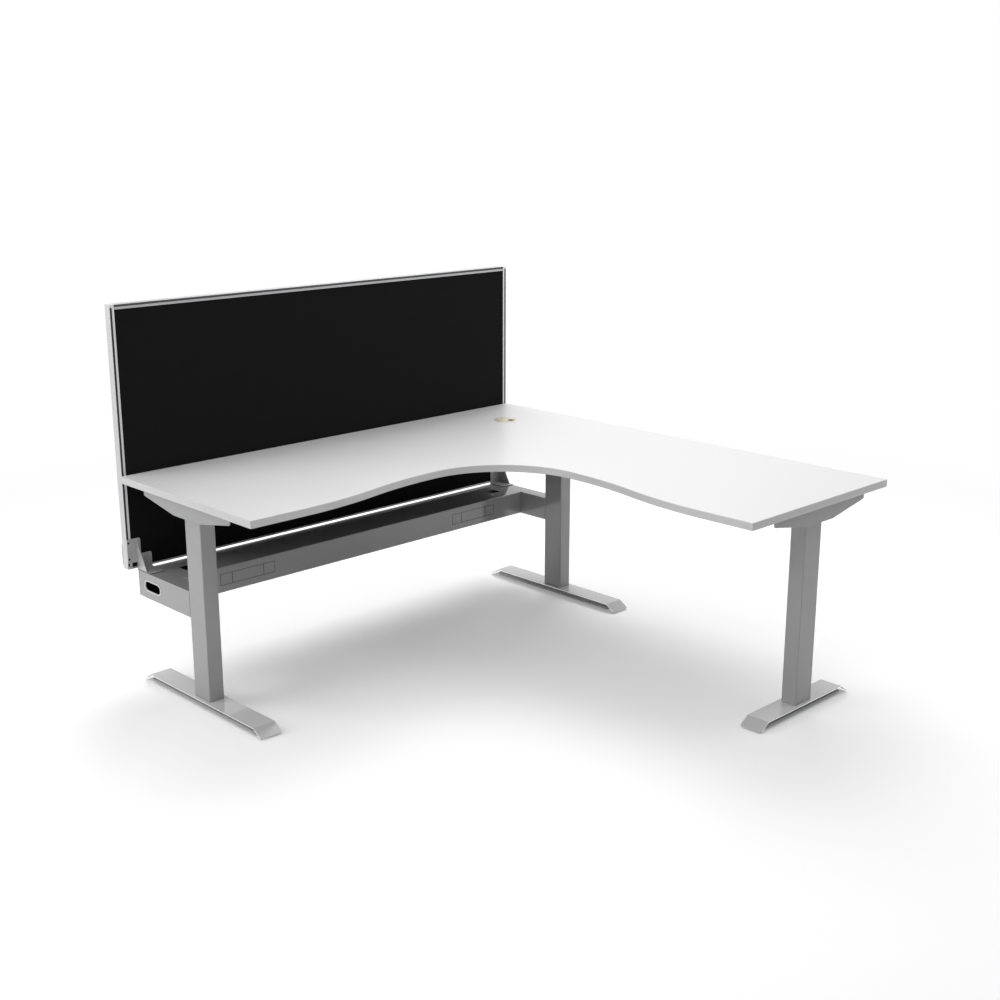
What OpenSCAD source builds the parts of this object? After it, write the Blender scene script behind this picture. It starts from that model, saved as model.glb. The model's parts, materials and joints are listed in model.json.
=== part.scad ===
// Corner workstation: an L-shaped worktop on three T-legs, with a cable duct
// behind the main wing and an upholstered screen standing on the duct.
// Lengths are in millimetres. X runs along the screen, the user sits on the -Y side.

/* [Worktop] */
// Length of the worktop along the screen
top_w = 1800; // [1700:10:2200]
// Length of the worktop along the return wing
top_d = 1800; // [1700:10:2200]
// Depth of the wing in front of the screen, at its end
main_depth = 750; // [700:10:850]
// Depth of the return wing, at its end
return_depth = 750; // [700:10:850]
// Depth of both wings beside the corner, where they are narrowest
waist_depth = 678; // [640:2:690]
// Radius of the curved edge in the inner corner
corner_r = 317; // [250:1:360]
// Length over which a wing widens from its waist to its full depth
sweep_len = 605; // [450:5:620]
// Height of the worktop surface above the floor
top_h = 730; // [680:5:800]
// Thickness of the worktop board
top_t = 25; // [19:1:30]
// Thickness of the edge band
edge_t = 2; // [1:0.5:3]

/* [Grommet] */
// Distance of the cable grommet from both rear edges
grommet_inset = 243; // [200:1:270]
// Bore in the board for the grommet
grommet_bore = 80; // [70:1:84]
// Outer diameter of the grommet flange
flange_d = 89; // [88:1:100]
// Height of the flange above the worktop
flange_t = 3; // [2:0.5:4]
// Wall of the grommet liner
liner_wall = 2; // [1.5:0.5:3]
// Depth of the liner below the worktop surface
liner_depth = 21; // [15:1:24]
// Thickness of the turning cap
cap_t = 3; // [2:0.5:4]
// Width of the cable notch in the cap
notch_w = 24; // [12:1:28]
// Distance of the notch's inner end from the middle of the cap
notch_in = 13; // [6:1:20]
// Angle that the notch stands turned from the front
notch_turn = 11; // [0:1:45]

/* [Legs] */
// Distance from a wing's end to the middle of its leg
leg_inset = 65; // [60:1:80]
// Distance from the rear edge to the middle of a leg
leg_back = 365; // [340:1:390]
// Size of the column along the foot
col_depth = 90; // [70:1:110]
// Size of the column across the foot
col_w = 56; // [48:1:60]
// Corner radius of the column tube
col_r = 4; // [3:0.5:6]
// Wall of the column tube
col_wall = 2; // [1.5:0.5:3]
// Thickness of the plates that close the column
col_plate = 6; // [4:1:8]

/* [Top brackets] */
// Length of the bracket under the worktop
brk_l = 500; // [440:2:560]
// Width of the bracket
brk_w = 100; // [86:1:110]
// Depth of the bracket over its flat bottom
brk_h = 53.5; // [45:0.5:60]
// Depth of the bracket at its tips
brk_tip = 21; // [16:0.5:26]
// Length of the flat bottom
brk_flat = 144; // [120:2:180]
// Sheet thickness of the bracket
brk_t = 3; // [2:0.5:4]
// Radius at the bracket's tips
brk_tip_r = 7; // [4:0.5:10]
// Radius where the sloping bottom meets the flat one
brk_knee_r = 12; // [8:1:40]
// Width of the flanges that are screwed to the worktop
brk_flange = 18; // [14:1:22]
// Distance of the worktop screws from the middle, along the bracket
brk_screw_l = 175; // [130:1:190]

/* [Feet] */
// Flat length of the foot cover on the two legs of the main wing
foot_long = 618; // [520:2:700]
// Flat length of the foot cover on the return leg
foot_short = 420; // [380:2:520]
// Width of the foot cover
cover_w = 82; // [76:1:96]
// Sheet thickness of the foot cover
cover_t = 3; // [2:0.5:4]
// Height of the foot cover above the floor
foot_h = 32.5; // [31:0.5:38]
// How far an end flap reaches beyond the flat
flap_reach = 41; // [30:0.5:55]
// Height of the flap's upper edge above the floor, at its end
flap_lift = 7; // [5:0.5:10]
// Corner radius of the flaps
flap_r = 10; // [4:1:16]
// Width of the foot beam at its base
beam_base_w = 68; // [62:1:72]
// Width of the foot beam under the cover
beam_top_w = 56; // [50:1:58]
// Height of the wider base of the foot beam
beam_base_h = 8.5; // [6:0.5:10]
// Height of the foot beam's lower edge above the floor
beam_lift = 8; // [7:0.5:9]
// Wall of the foot beam
beam_wall = 3; // [2:0.5:4]
// Setback of the foot beam from the ends of the flat
beam_setback = 2; // [1:0.5:6]

/* [Glides] */
// Distance from the end of the flat to the middle of a glide
glide_in = 34; // [28:1:60]
// Diameter of the glide pad
glide_d = 26; // [20:1:32]
// Height of the glide pad
glide_h = 5; // [4:0.5:6]
// Diameter of the glide's threaded stud
stud_d = 9.4; // [7.4:0.2:9.4]
// Diameter of the welded nut that holds the stud
nut_d = 17; // [15:1:20]
// Height of the lower face of the welded nut above the floor
nut_z = 10.5; // [10:0.5:12]
// Height of the stud's top above the floor
stud_top = 26.5; // [25:0.5:26.5]

/* [Cable duct] */
// Height of the duct's lower edge above the floor
duct_z = 306; // [250:1:350]
// Height of the duct
duct_h = 90; // [80:1:110]
// Depth of the duct, front to back
duct_d = 178; // [150:1:200]
// Gap from the worktop's rear edge line to the duct's rear wall
duct_back = 2; // [2:0.5:6]
// Sheet thickness of the duct
duct_t = 2; // [1.5:0.5:3]
// Outer bend radius of the duct
duct_r = 3; // [2.5:0.5:5]
// Width of the flanges that hold the bottom cover
duct_flange = 12; // [10:1:20]
// Thickness of the bottom cover
duct_cover_t = 1.5; // [1:0.5:2]
// Side of the square cable holes in the top
cable_hole = 45; // [30:1:60]
// Distance of the square cable holes from the worktop's ends
cable_hole_in = 173; // [150:1:220]
// Distance of the square cable holes from the worktop's rear edge
cable_hole_back = 98; // [85:1:110]
// Length of the oval hole in each duct arm
port_l = 100; // [80:1:120]
// Height of the oval hole in each duct arm
port_h = 36; // [24:1:38]
// Spacing of the four fixing holes round the oval hole
port_pitch = 41; // [41:1:46]
// Diameter of the four fixing holes
port_hole = 4; // [3:0.5:4]
// Width of the trim round the oval hole
port_trim = 4; // [2:0.5:6]
// Distance of the outer cover screws from the duct's ends
cover_screw_end = 120; // [60:5:200]
// Length of the outlet openings in the front
outlet_l = 227; // [180:1:260]
// Height of the outlet openings
outlet_h = 41; // [36:1:46]
// Distance of the outlet openings' middle from the worktop's ends
outlet_in = 361; // [300:1:420]
// Length of the middle field of an outlet blank
outlet_mid = 130; // [90:1:150]
// Width of the scored lines on an outlet blank
score_w = 1.4; // [0.8:0.1:1.8]
// Gap round an outlet blank in its opening
blank_gap = 1; // [0.4:0.1:1.5]

/* [Screen] */
// Gap between the duct's top and the screen
screen_lift = 6; // [4:1:20]
// Height of the screen
screen_h = 898; // [700:1:1100]
// Distance of the screen's ends from the worktop's ends
screen_in = 2; // [0:0.5:10]
// Thickness of the screen frame
screen_t = 30; // [28:1:36]
// Gap between worktop and screen
screen_gap = 1; // [0.5:0.5:3]
// Visible width of the frame profile
frame_w = 16.5; // [15:0.5:20]
// Width of the lip that covers the infill's edge
lip_w = 8; // [6:0.5:9]
// Thickness of the lip
lip_t = 1.8; // [1.4:0.1:2.2]
// Wall at the outside of the slot
slot_wall = 1.2; // [1:0.1:1.6]
// Depth of the slots in the frame's faces
slot_d = 7; // [6:0.5:8]
// Wall round the hollow chamber of the frame
frame_wall = 1.5; // [1.2:0.1:1.8]
// Height of the corner blocks
block_h = 9.5; // [8.5:0.5:12]
// Height of the bottom rail's lips
rail_lip = 6.5; // [5:0.5:8]
// Thickness of the bottom rail's web
rail_web = 1.6; // [1.2:0.1:2]
// Thickness of the corner blocks' tongues in the bottom rail
tongue_t = 2.2; // [1.6:0.1:2.6]
// Length of the corner blocks' tenons
tenon_l = 28; // [15:1:40]
// Thickness of the fabric with its backing
fabric_t = 1.2; // [0.8:0.1:2]

/* [Screen brackets] */
// Sheet thickness of the screen brackets
sb_t = 3; // [2:0.5:4]
// Width of the upright plate
sb_w = 53; // [46:1:60]
// Height of the upright plate's top above the duct
sb_h = 112; // [90:1:150]
// Height of the step's top above the duct
sb_step = 55; // [40:1:70]
// Height of the upright plate's lower edge above the duct, outside the step
sb_low = 28; // [16:1:32]
// Depth of the base plate on the duct
sb_base = 80; // [60:1:110]
// Reach of the gusset along the base plate
sb_gusset = 60; // [40:1:76]
// Distance of the slot screws from the tops of plate and step
sb_screw = 13; // [8:1:16]
// Thickness of the rear clamp plates
clamp_t = 5; // [3:0.5:6]
// Height of a rear clamp plate
clamp_h = 75; // [60:1:90]
// Width of a rear clamp plate
clamp_w = 40; // [30:1:48]
// Height of the rear clamp plate's lower edge above the screen's
clamp_up = 9; // [4:1:20]

/* [Fasteners] */
// Diameter of the wood screws' shanks
wood_d = 4; // [3.5:0.1:4.4]
// Depth of the wood screws in the board
wood_in = 15; // [10:1:17]
// Diameter of the holes through which the wood screws are driven
driver_d = 13; // [10:1:16]
// Diameter of the leg bolts
bolt_d = 8; // [6:1:10]
// Distance of the leg bolts from the middle of the column
bolt_pitch = 25; // [18:1:28]
// Diameter of the small frame screws
screw_d = 4; // [3:0.5:4.5]

/* [Clearances] */
// Gap round pieces that fit into each other
fit = 0.3; // [0.2:0.05:0.4]
// Gap between a moving piece and its seat
run_gap = 0.35; // [0.3:0.05:0.5]
// Gap between screw shanks and their holes
shank_gap = 0.15; // [0.1:0.05:0.2]

/* [Hidden] */
$fn = 64;
// Cut-outs run this far past the faces they open
past = 5;

// Colours of the finishes
coat = [0.72, 0.73, 0.74];
alu = [0.80, 0.80, 0.80];
white = [0.95, 0.95, 0.94];
cloth = [0.08, 0.08, 0.08];
zinc = [0.62, 0.63, 0.65];
brass = [0.78, 0.70, 0.58];
black = [0.12, 0.12, 0.12];

// Holes for the screws and bolts
wood_hole = wood_d + 2 * shank_gap;
bolt_hole = bolt_d + 2 * shank_gap;
screw_hole = screw_d + 2 * shank_gap;

// Undersides, seats and reaches that several pieces share
under_z = top_h - top_t;
seat_z = foot_h - cover_t;
col_top = under_z - brk_h;
duct_top = duct_z + duct_h;
duct_end = leg_inset - col_w / 2;
duct_in = duct_end + col_w;
duct_front = duct_back + duct_d;
arm_front = leg_back - col_depth / 2;
duct_mid = duct_z + duct_h / 2;
head_t = 4;
screen_front = screen_gap;
screen_rear = screen_gap + screen_t;
rear_reach = screen_rear + clamp_t + head_t / 2;
core_a = frame_w - lip_w + frame_wall;
infill_in = core_a + fit;
screen_z = duct_top + screen_lift;
screen_top = screen_z + screen_h;
board_front = lip_t + fit + fabric_t;

// Legs in the order left, corner, right: middle, turn and flat foot length
leg_at = [
    [leg_inset, -leg_back], [top_w - leg_inset, -leg_back],
    [top_w - leg_back, leg_inset - top_d]
];
leg_turn = [0, 0, 90];
foot_l = [foot_long, foot_long, foot_short];

// The origin moves from the worktop's left rear corner to the middle of the floor area
module place() translate([-top_w / 2, (top_d - rear_reach) / 2, 0]) children();

// A piece drawn for the left end, mirrored to the right end
module at_right() translate([top_w, 0, 0]) mirror([1, 0, 0]) children();

module both_ends() {
    children();
    at_right() children();
}

// The left end of the screen
module at_screen() translate([screen_in, 0, 0]) children();

// A piece drawn round the middle of leg i, with the foot along Y
module at_leg(i) translate(leg_at[i]) rotate([0, 0, leg_turn[i]]) children();

// A profile drawn in Y and Z, extruded along X about the middle
module across(w) rotate([90, 0, 90]) linear_extrude(w, center = true) children();

// The same profile extruded from x0 to x1
module along_x(x0, x1) translate([x0, 0, 0]) rotate([90, 0, 90]) linear_extrude(x1 - x0) children();

// A profile drawn in X and Z, extruded backwards from y0 to y1
module along_y(y0, y1) translate([0, y1, 0]) rotate([90, 0, 0]) linear_extrude(y1 - y0) children();

module box(p, q) translate(p) cube(q - p);

module round_rect(w, l, r) {
    square([w - 2 * r, l], center = true);
    square([w, l - 2 * r], center = true);
    for (x = [-1, 1], y = [-1, 1]) translate([x * (w / 2 - r), y * (l / 2 - r)]) circle(r);
}

module slot_shape(l, h) {
    square([l - h, h], center = true);
    for (x = [-1, 1]) translate([x * (l - h) / 2, 0]) circle(h / 2);
}

// Points of an outline with its corners rounded: p are the corners, r their radii
arc_steps = 8;
function unit(v) = v / norm(v);
function corner_arc(a, b, c, r) =
    let (u = unit(a - b), v = unit(c - b), half = acos(u * v) / 2,
        mid = b + unit(u + v) * r / sin(half), from = b + u * r / tan(half), to = b + v * r / tan(half),
        a0 = atan2(from[1] - mid[1], from[0] - mid[0]), a1 = atan2(to[1] - mid[1], to[0] - mid[0]),
        turn = (a1 - a0 + 540) % 360 - 180)
    [for (k = [0 : arc_steps]) mid + r * [cos(a0 + turn * k / arc_steps), sin(a0 + turn * k / arc_steps)]];
function rounded(p, r) = [
    for (i = [0 : len(p) - 1])
        let (n = len(p), a = p[(i + n - 1) % n], b = p[i], c = p[(i + 1) % n])
        each (r[i] > 0 ? corner_arc(a, b, c, r[i]) : [b])
];

// Points of an arc round c, from angle a0 to a1
function arc(c, r, a0, a1, steps) = [
    for (k = [0 : steps]) c + r * [cos(a0 + (a1 - a0) * k / steps), sin(a0 + (a1 - a0) * k / steps)]
];

// Worktop outline from its rear corner, inset by d. A wing's front edge swings from its full depth
// to the waist in two equal arcs, and the waists of both wings meet in the corner's arc.
sweep_steps = 24;
corner_steps = 48;
arc_mid = waist_depth + corner_r;
function sweep_r(depth) = (pow(sweep_len, 2) + pow(depth - waist_depth, 2)) / (4 * (depth - waist_depth));
function wing_edge(len, depth, d) =
    let (r = sweep_r(depth), turn = asin(sweep_len / 2 / r), end = arc_mid + sweep_len)
    concat(
        [[len - d, d], [len - d, depth - d]],
        arc([end, depth - r], r - d, 90, 90 + turn, sweep_steps),
        arc([arc_mid, waist_depth + r], r + d, turn - 90 - turn / sweep_steps, -90, sweep_steps - 1)
    );
function inner_points(points) = [for (k = [1 : len(points) - 2]) points[k]];
function swapped(points) = [for (k = [len(points) - 1 : -1 : 0]) [points[k][1], points[k][0]]];
function outline(d) = concat(
    [[d, d]],
    wing_edge(top_w, main_depth, d),
    inner_points(arc([arc_mid, arc_mid], corner_r + d, -90, -180, corner_steps)),
    swapped(wing_edge(top_d, return_depth, d))
);

module worktop_outline(d) translate([top_w, 0]) rotate(180) polygon(outline(d));

module at_grommet() translate([top_w - grommet_inset, -grommet_inset, 0]) children();

// Height of the nuts on the leg bolts' size
bolt_nut_h = 6.5;

// Where the wood screws of leg bracket i go
screw_x = brk_w / 2 - brk_t - brk_flange / 2;
module at_screws(i) at_leg(i) for (x = [-1, 1], y = [-1, 1])
    translate([x * screw_x, y * brk_screw_l, 0]) children();

module worktop() color(white) place() difference() {
    translate([0, 0, under_z]) linear_extrude(top_t) worktop_outline(edge_t);
    at_grommet() translate([0, 0, under_z - past]) cylinder(d = grommet_bore, h = top_t + 2 * past);
    for (i = [0 : 2]) at_screws(i)
        translate([0, 0, under_z - past]) cylinder(d = wood_hole, h = wood_in + 1 + past, $fn = 24);
}

module worktop_edge_band() color(white) place() translate([0, 0, under_z]) linear_extrude(top_t)
    difference() {
        worktop_outline(0);
        worktop_outline(edge_t);
    }

// The liner's tube hangs in the bore, and the cap turns in a recess of its flange
liner_r = grommet_bore / 2 - fit;
recess_r = liner_r - liner_wall;
ledge_w = 3;
cap_r = recess_r - run_gap;
skirt_r = recess_r - ledge_w - run_gap;
skirt_wall = 2;
skirt_h = 9;
cap_z = top_h + flange_t - cap_t;

module grommet_liner() color(brass) place() at_grommet() rotate_extrude($fn = 96) {
    flange_r = flange_d / 2;
    intersection() {
        translate([recess_r, top_h]) square([flange_r - recess_r, flange_t]);
        union() {
            translate([flange_r - flange_t / 2, top_h + flange_t / 2]) circle(flange_t / 2);
            translate([recess_r, top_h]) square([flange_r - recess_r, flange_t / 2]);
            translate([recess_r, top_h]) square([flange_r - recess_r - flange_t / 2, flange_t]);
        }
    }
    translate([recess_r, top_h - liner_depth]) square([liner_wall, liner_depth + flange_t / 2]);
    translate([recess_r - ledge_w, cap_z - ledge_w]) square([ledge_w + liner_wall / 2, ledge_w]);
}

module grommet_cap() color(brass) place() at_grommet() difference() {
    rotate_extrude($fn = 96) {
        translate([0, cap_z]) square([cap_r, cap_t]);
        translate([skirt_r - skirt_wall, cap_z - skirt_h]) square([skirt_wall, skirt_h + 1]);
    }
    rotate([0, 0, notch_turn]) translate([0, -notch_in - notch_w / 2, cap_z - skirt_h - past])
        linear_extrude(skirt_h + cap_t + 2 * past) {
            circle(d = notch_w);
            translate([-notch_w / 2, -grommet_bore / 2]) square([notch_w, grommet_bore / 2]);
        }
}

// Hexagon socket screws and plain bolts, drawn with the head's seat at the origin and the shank along +Z
module bolt(d, l, head = 1.6, socket = true) {
    cylinder(d = d, h = l, $fn = 32);
    difference() {
        translate([0, 0, -head_t]) cylinder(d = d * head, h = head_t, $fn = 32);
        if (socket) translate([0, 0, -head_t - 1]) cylinder(d = d * 0.6, h = head_t / 2 + 1, $fn = 6);
    }
}

module hex_nut(d, h) difference() {
    cylinder(d = d * 1.85, h = h, $fn = 6);
    translate([0, 0, -1]) cylinder(d = d + 2 * shank_gap, h = h + 2, $fn = 32);
}

// Columns
duct_bolt_z = [duct_z + duct_h * 0.28, duct_z + duct_h * 0.72];

module column(duct = true) color(coat) {
    difference() {
        translate([0, 0, seat_z]) linear_extrude(col_top - seat_z) round_rect(col_w, col_depth, col_r);
        translate([0, 0, seat_z + col_plate]) linear_extrude(col_top - seat_z - 2 * col_plate)
            round_rect(col_w - 2 * col_wall, col_depth - 2 * col_wall, col_r - col_wall);
        for (y = [-1, 1]) translate([0, y * bolt_pitch, seat_z - past])
            cylinder(d = bolt_hole, h = col_top - seat_z + 2 * past);
        if (duct) for (z = duct_bolt_z) translate([0, col_depth / 2 - col_wall - past, z]) rotate([-90, 0, 0])
            cylinder(d = bolt_hole, h = col_wall + 2 * past);
    }
}

// Top bracket: a folded trough with open tips, its open top against the worktop
slope = atan2(brk_h - brk_tip, (brk_l - brk_flat) / 2);
function trough(tip, t) =
    let (knee = brk_flat / 2 - t * tan(slope / 2),
        low = -brk_h + (tip - brk_flat / 2) * tan(slope) + t / cos(slope))
    [[-tip, 0], [-tip, low], [-knee, t - brk_h], [knee, t - brk_h], [tip, low], [tip, 0]];
module trough_side(tip, t, tip_r) let (knee_r = brk_knee_r - t)
    polygon(rounded(trough(tip, t), [0, tip_r, knee_r, knee_r, tip_r, 0]));

module top_bracket() color(coat) translate([0, 0, under_z]) difference() {
    union() {
        difference() {
            across(brk_w) trough_side(brk_l / 2, 0, brk_tip_r);
            across(brk_w - 2 * brk_t) union() {
                trough_side(brk_l / 2 + past, brk_t, 0);
                translate([-brk_l / 2 - past, -1]) square([brk_l + 2 * past, 1 + past]);
            }
        }
        for (x = [-1, 1]) translate([x * (brk_w / 2 - brk_t / 2 - brk_flange / 2), 0, -brk_t / 2])
            cube([brk_flange + brk_t, brk_l - 2 * brk_t, brk_t], center = true);
    }
    for (x = [-1, 1], y = [-1, 1]) translate([x * screw_x, y * brk_screw_l, 0]) {
        translate([0, 0, -brk_t - 1]) cylinder(d = wood_hole, h = brk_t + past, $fn = 24);
        translate([0, 0, -brk_h - past]) cylinder(d = driver_d, h = brk_h, $fn = 32);
    }
    for (y = [-1, 1]) translate([0, y * bolt_pitch, -brk_h - past])
        cylinder(d = bolt_hole, h = brk_t + 2 * past, $fn = 32);
}

module bracket_screws(i) color(zinc) place() at_screws(i)
    translate([0, 0, under_z - brk_t]) bolt(wood_d, brk_t + wood_in, 2.1);

// Foot beam: a stepped channel, open below, with a welded nut for each glide
module beam_section(t) {
    top = seat_z - t;
    step = beam_lift + beam_base_h - t;
    polygon([
        [-beam_base_w / 2 + t, beam_lift], [-beam_base_w / 2 + t, step], [-beam_top_w / 2 + t, step],
        [-beam_top_w / 2 + t, top], [beam_top_w / 2 - t, top], [beam_top_w / 2 - t, step],
        [beam_base_w / 2 - t, step], [beam_base_w / 2 - t, beam_lift]
    ]);
}

module at_glides(l) for (y = [-1, 1]) translate([0, y * (l / 2 - glide_in), 0]) children();

module foot_beam(l) color(coat) {
    beam_l = l - 2 * beam_setback;
    difference() {
        union() {
            difference() {
                translate([0, beam_l / 2, 0]) rotate([90, 0, 0]) linear_extrude(beam_l) beam_section(0);
                translate([0, beam_l / 2 - beam_wall, -1]) rotate([90, 0, 0])
                    linear_extrude(beam_l - 2 * beam_wall) union() {
                        translate([0, 1]) beam_section(beam_wall);
                        translate([beam_wall - beam_base_w / 2, beam_lift - past])
                            square([beam_base_w - 2 * beam_wall, past + 1 + beam_wall]);
                    }
            }
            at_glides(l) translate([0, 0, nut_z]) cylinder(d = nut_d, h = seat_z - beam_wall / 2 - nut_z);
        }
        at_glides(l) translate([0, 0, nut_z - past])
            cylinder(d = stud_d + 2 * run_gap, h = seat_z - nut_z + 2 * past);
        for (y = [-1, 1]) translate([0, y * bolt_pitch, seat_z - beam_wall - past])
            cylinder(d = bolt_hole, h = beam_wall + 2 * past, $fn = 32);
    }
}

// Foot cover: a plate bent down to a flap at each end, cut out for the column
bend_r = 2;
edge_play = 0.1;
function mirrored(points) = [for (k = [len(points) - 1 : -1 : 0]) [-points[k][0], points[k][1]]];
function cover_half(l) =
    let (a = atan2(foot_h - flap_lift, flap_reach), end = [l / 2 + flap_reach, flap_lift])
    [
        [l / 2, foot_h], end, end - cover_t * [sin(a), cos(a)],
        [l / 2 - cover_t * tan(a / 2), foot_h - cover_t]
    ];
cover_r = [bend_r + cover_t, 0, 0, bend_r, bend_r, 0, 0, bend_r + cover_t];
module cover_side(l) polygon(rounded(concat(cover_half(l), mirrored(cover_half(l))), cover_r));

module foot_cover(l) color(coat) difference() {
    intersection() {
        across(cover_w) cover_side(l);
        linear_extrude(foot_h + past) round_rect(cover_w + edge_play, l + 2 * flap_reach + edge_play, flap_r);
    }
    translate([0, 0, foot_h - cover_t - past]) linear_extrude(cover_t + 2 * past)
        round_rect(col_w + 2 * fit, col_depth + 2 * fit, col_r);
}

// Column bolts, one pair up through the foot beam and one pair down through the bracket
module leg_bolts(i) color(zinc) place() at_leg(i) for (y = [-1, 1]) translate([0, y * bolt_pitch, 0]) {
    translate([0, 0, seat_z - beam_wall]) bolt(bolt_d, beam_wall + col_plate + 6);
    translate([0, 0, col_top + brk_t]) mirror([0, 0, 1]) bolt(bolt_d, brk_t + col_plate + 6);
}

// Screw glide: a pad on a threaded stud that runs in the welded nut
module glide(y) color(black) translate([0, y, 0]) {
    rotate_extrude() polygon([
        [0, 0], [glide_d / 2 - 1, 0], [glide_d / 2, 1], [glide_d / 2, glide_h - 2],
        [glide_d / 2 - 3, glide_h], [0, glide_h]
    ]);
    translate([0, 0, glide_h - 1]) cylinder(d = stud_d * 1.6, h = 3, $fn = 6);
    cylinder(d = stud_d, h = stud_top);
}

// Cable duct, open below between two flanges that carry the bottom cover
module duct_section() difference() {
    union() {
        translate([-duct_front, duct_z]) square([duct_d, duct_h - duct_r]);
        translate([-duct_front + duct_r, duct_z]) square([duct_d - 2 * duct_r, duct_h]);
        for (y = [-duct_front + duct_r, -duct_back - duct_r])
            translate([y, duct_top - duct_r]) circle(duct_r);
    }
    translate([-duct_front + duct_t, duct_z + duct_cover_t + duct_t])
        square([duct_d - 2 * duct_t, duct_h - 2 * duct_t - duct_cover_t]);
    translate([-duct_front + duct_t, duct_z - 1]) square([duct_d - 2 * duct_t, duct_cover_t + 1]);
    translate([-duct_front + duct_t + duct_flange, duct_z - 1])
        square([duct_d - 2 * duct_t - 2 * duct_flange, duct_h / 2]);
}

// Screws of the bottom cover stand in the middle of the flanges
cover_screws = 4;
cover_screw_step = (top_w - 2 * duct_in - 2 * cover_screw_end) / (cover_screws - 1);
cover_screw_x = [for (k = [0 : cover_screws - 1]) duct_in + cover_screw_end + k * cover_screw_step];
cover_screw_y = [-duct_front + duct_t + duct_flange / 2, -duct_back - duct_t - duct_flange / 2];
module at_cover_screws() for (x = cover_screw_x, y = cover_screw_y) translate([x, y, 0]) children();

module duct_channel() color(coat) place() difference() {
    along_x(duct_in, top_w - duct_in) duct_section();
    both_ends() {
        translate([cable_hole_in, -cable_hole_back, duct_top])
            cube([cable_hole, cable_hole, 4 * duct_t], center = true);
        translate([outlet_in - outlet_l / 2, -duct_front - past, duct_mid - outlet_h / 2])
            cube([outlet_l, duct_t + 2 * past, outlet_h]);
    }
    at_cover_screws() translate([0, 0, duct_z - past])
        cylinder(d = screw_hole, h = duct_t + duct_cover_t + 2 * past, $fn = 24);
}

module duct_bottom_cover() color(coat) place() difference() {
    box([duct_in + fit, -duct_front + duct_t + fit, duct_z],
        [top_w - duct_in - fit, -duct_back - duct_t - fit, duct_z + duct_cover_t]);
    at_cover_screws() translate([0, 0, duct_z - past])
        cylinder(d = screw_hole, h = duct_cover_t + 2 * past, $fn = 24);
}

module duct_cover_screws() color(zinc) place() at_cover_screws() translate([0, 0, duct_z])
    difference() {
        union() {
            cylinder(d = screw_d, h = duct_cover_t + duct_t + 4, $fn = 24);
            translate([0, 0, -head_t / 2]) cylinder(d = 2 * screw_d, h = head_t / 2, $fn = 24);
        }
        translate([0, 0, -head_t / 2 - 1]) cylinder(d = screw_d * 0.6, h = 2, $fn = 6);
    }

// Duct arm: a closed box behind the column, open to the duct on its inner side
module at_port() translate([duct_end, -duct_back - duct_d / 2, duct_mid]) rotate([90, 0, 90]) children();

module duct_arm() color(coat) difference() {
    translate([duct_end + col_w / 2, -(duct_back + arm_front) / 2, duct_z])
        linear_extrude(duct_h) round_rect(col_w, arm_front - duct_back, duct_r / 2);
    box([duct_end + duct_t, -arm_front + duct_t, duct_z + duct_t],
        [duct_in - duct_t, -duct_back - duct_t, duct_top - duct_t]);
    box([duct_end + col_w / 2, -duct_front + duct_t, duct_z + duct_t],
        [duct_in + past, -duct_back - duct_t, duct_top - duct_t]);
    at_port() translate([0, 0, -past]) linear_extrude(duct_t + 2 * past) {
        slot_shape(port_l, port_h);
        for (y = [-1, 1], z = [-1, 1]) translate([y, z] * port_pitch / 2) circle(d = port_hole, $fn = 24);
    }
    for (z = duct_bolt_z) translate([leg_inset, -arm_front - past, z]) rotate([-90, 0, 0])
        cylinder(d = bolt_hole, h = duct_t + 2 * past);
    for (y = base_screw_y) translate([duct_end + col_w / 2, y, duct_top - duct_t - past])
        cylinder(d = screw_hole, h = duct_t + 2 * past, $fn = 24);
}

// Trim that edges the oval hole: a flat rim outside and a collar through the sheet
trim_t = 1;
module port_trim() color(alu) at_port() difference() {
    union() {
        translate([0, 0, -trim_t]) linear_extrude(trim_t)
            slot_shape(port_l + port_trim, port_h + port_trim);
        translate([0, 0, -trim_t]) linear_extrude(trim_t + duct_t + trim_t)
            slot_shape(port_l - 2 * fit, port_h - 2 * fit);
    }
    translate([0, 0, -trim_t - past]) linear_extrude(duct_t + 2 * trim_t + 2 * past)
        slot_shape(port_l - port_trim, port_h - port_trim);
}

// The arm is bolted through its end wall into the column, with a nut inside the tube
module duct_bolts() color(zinc) place() both_ends() for (z = duct_bolt_z)
    translate([leg_inset, -arm_front, z]) rotate([90, 0, 0]) {
        translate([0, 0, -duct_t]) bolt(bolt_d, duct_t + col_wall + bolt_d);
        translate([0, 0, col_wall]) hex_nut(bolt_d, bolt_nut_h);
    }

// Outlet blank: a scored plate that fills the opening, held by a wider back
blank_back = 5;
score_depth = 1.2;
module centred(w, y0, y1, h) box([-w / 2, y0, -h / 2], [w / 2, y1, h / 2]);
module outlet_blank() color(coat) translate([outlet_in, -duct_front, duct_mid]) difference() {
    union() {
        centred(outlet_l - 2 * blank_gap, 0, 1.5 * duct_t, outlet_h - 2 * blank_gap);
        centred(outlet_l + 2 * blank_back, duct_t, 1.5 * duct_t, outlet_h + 2 * blank_back);
    }
    for (x = [-1, 1]) translate([x * outlet_mid / 2, 0, 0]) centred(score_w, -1, score_depth, outlet_h);
}

// Screen frame: one profile with a slot in each face, a hollow core and two lips for the infill.
// It is drawn with the outer edge at zero, its width along X and its thickness along Y.
module frame_profile() difference() {
    polygon([
        [0, 0], [slot_wall, 0], [slot_wall, slot_d], [frame_w - lip_w, slot_d], [frame_w - lip_w, 0],
        [frame_w, 0], [frame_w, lip_t], [core_a, lip_t], [core_a, screen_t - lip_t],
        [frame_w, screen_t - lip_t], [frame_w, screen_t], [frame_w - lip_w, screen_t],
        [frame_w - lip_w, screen_t - slot_d],
        [slot_wall, screen_t - slot_d], [slot_wall, screen_t], [0, screen_t]
    ]);
    chamber(0);
}

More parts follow.
